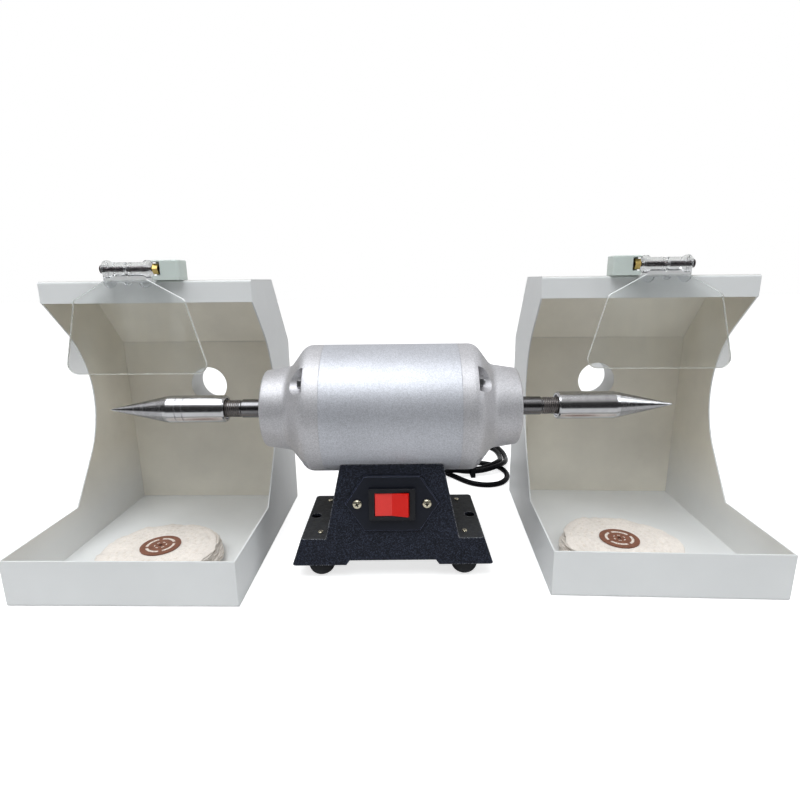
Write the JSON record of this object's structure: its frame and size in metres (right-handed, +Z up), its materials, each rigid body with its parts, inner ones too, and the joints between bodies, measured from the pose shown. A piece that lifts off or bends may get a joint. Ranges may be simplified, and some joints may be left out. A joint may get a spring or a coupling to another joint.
{
  "type": "dental bench grinder",
  "caption": "Bench grinding and polishing motor with tapered arbors, free-standing dust hoods, clear eye shields, muslin buffs and a tied mains lead.",
  "frame": {"origin": "on the bench, under the middle of the motor", "axes": "+X along the spindle to the right, +Y to the back, +Z up"},
  "size_m": [0.5777, 0.3737, 0.2457],
  "materials": {
    "base_black": "fine black wrinkle",
    "plate_zinc": "zinc plated",
    "rubber_black": "matt",
    "screw_nickel": "nickel plated",
    "motor_silver": "satin silver",
    "lamination": "oiled",
    "copper": "enamelled",
    "steel": "ground",
    "arbor_steel": "polished",
    "panel_black": "satin",
    "switch_black": "satin",
    "can_grey": "satin",
    "cord_black": "satin",
    "tie_black": "satin",
    "plug_black": "satin",
    "pin_nickel": "nickel plated",
    "rocker_red": "gloss",
    "rotor_alloy": "cast",
    "hood_white": "satin",
    "block_pale": "translucent",
    "nut_brass": "bright",
    "clear": "clear",
    "muslin": "stitched cotton",
    "disc_brown": "matt"
  },
  "bodies": {
    "base": {"base_housing": "base_black", "bottom_plate": "plate_zinc", "rubber_feet": "rubber_black", "foot_screws": "screw_nickel", "saddle_screws": "screw_nickel", "stator_tube": "motor_silver", "left_end_bell": "motor_silver", "right_end_bell": "motor_silver", "stator_core": "lamination", "stator_windings": "copper", "tie_bolts": "screw_nickel", "left_bearing_outer": "steel", "right_bearing_outer": "steel", "wave_washer": "steel", "switch_panel": "panel_black", "switch_body": "switch_black", "switch_screws": "screw_nickel", "capacitor": "can_grey", "capacitor_strap": "plate_zinc", "cord_gland": "rubber_black", "cord_lead": "cord_black", "cord_hank": "cord_black", "cord_tie": "tie_black", "plug": "plug_black", "plug_pins": "pin_nickel"},
    "rocker": {"rocker": "rocker_red"},
    "rotor": {"shaft": "steel", "rotor_core": "lamination", "rotor_end_rings": "rotor_alloy", "left_bearing_inner": "steel", "right_bearing_inner": "steel", "left_arbor": "arbor_steel", "right_arbor": "arbor_steel"},
    "left_hood": {"left_tray": "hood_white", "left_back": "hood_white", "left_canopy": "hood_white", "left_inner_cheek": "hood_white", "left_outer_cheek": "hood_white", "left_duct_spigot": "hood_white", "left_hinge_block": "block_pale", "left_hinge_bolt": "steel", "left_hinge_nut": "nut_brass"},
    "left_shield": {"left_shield": "clear", "left_shield_hinge": "clear"},
    "left_buff": {"left_buff": "muslin", "left_buff_disc": "disc_brown"},
    "right_hood": {"right_tray": "hood_white", "right_back": "hood_white", "right_canopy": "hood_white", "right_inner_cheek": "hood_white", "right_outer_cheek": "hood_white", "right_duct_spigot": "hood_white", "right_hinge_block": "block_pale", "right_hinge_bolt": "steel", "right_hinge_nut": "nut_brass"},
    "right_shield": {"right_shield": "clear", "right_shield_hinge": "clear"},
    "right_buff": {"right_buff": "muslin", "right_buff_disc": "disc_brown"}
  },
  "joints": [
    {"name": "rotor_spin", "type": "hinge", "parent": "base", "child": "rotor", "pos_m": [0, 0, 0.129], "axis": [1, 0, 0], "continuous": true},
    {"name": "rocker_tilt", "type": "hinge", "parent": "base", "child": "rocker", "pos_m": [0, -0.04145, 0.06324], "axis": [0, 0.0804, 0.9968], "range_deg": [0, 16]},
    {"name": "left_hood_slide", "type": "slide", "parent": "base", "child": "left_hood", "axis": [-0.9997, 0.0227, 0], "range_m": [0, 0.15]},
    {"name": "left_shield_swing", "type": "hinge", "parent": "left_hood", "child": "left_shield", "pos_m": [-0.20349, 0.0102, 0.239], "axis": [-0.9997, 0.0227, 0], "range_deg": [0, 110]},
    {"name": "left_buff_lift", "type": "slide", "parent": "left_hood", "child": "left_buff", "axis": [0, 0, 1], "range_m": [0, 0.09]},
    {"name": "right_hood_slide", "type": "slide", "parent": "base", "child": "right_hood", "axis": [0.9986, -0.0523, 0], "range_m": [0, 0.15]},
    {"name": "right_shield_swing", "type": "hinge", "parent": "right_hood", "child": "right_shield", "pos_m": [0.21618, 0.01287, 0.239], "axis": [-0.9986, 0.0523, 0], "range_deg": [0, 110]},
    {"name": "right_buff_lift", "type": "slide", "parent": "right_hood", "child": "right_buff", "axis": [0, 0, 1], "range_m": [0, 0.09]}
  ]
}
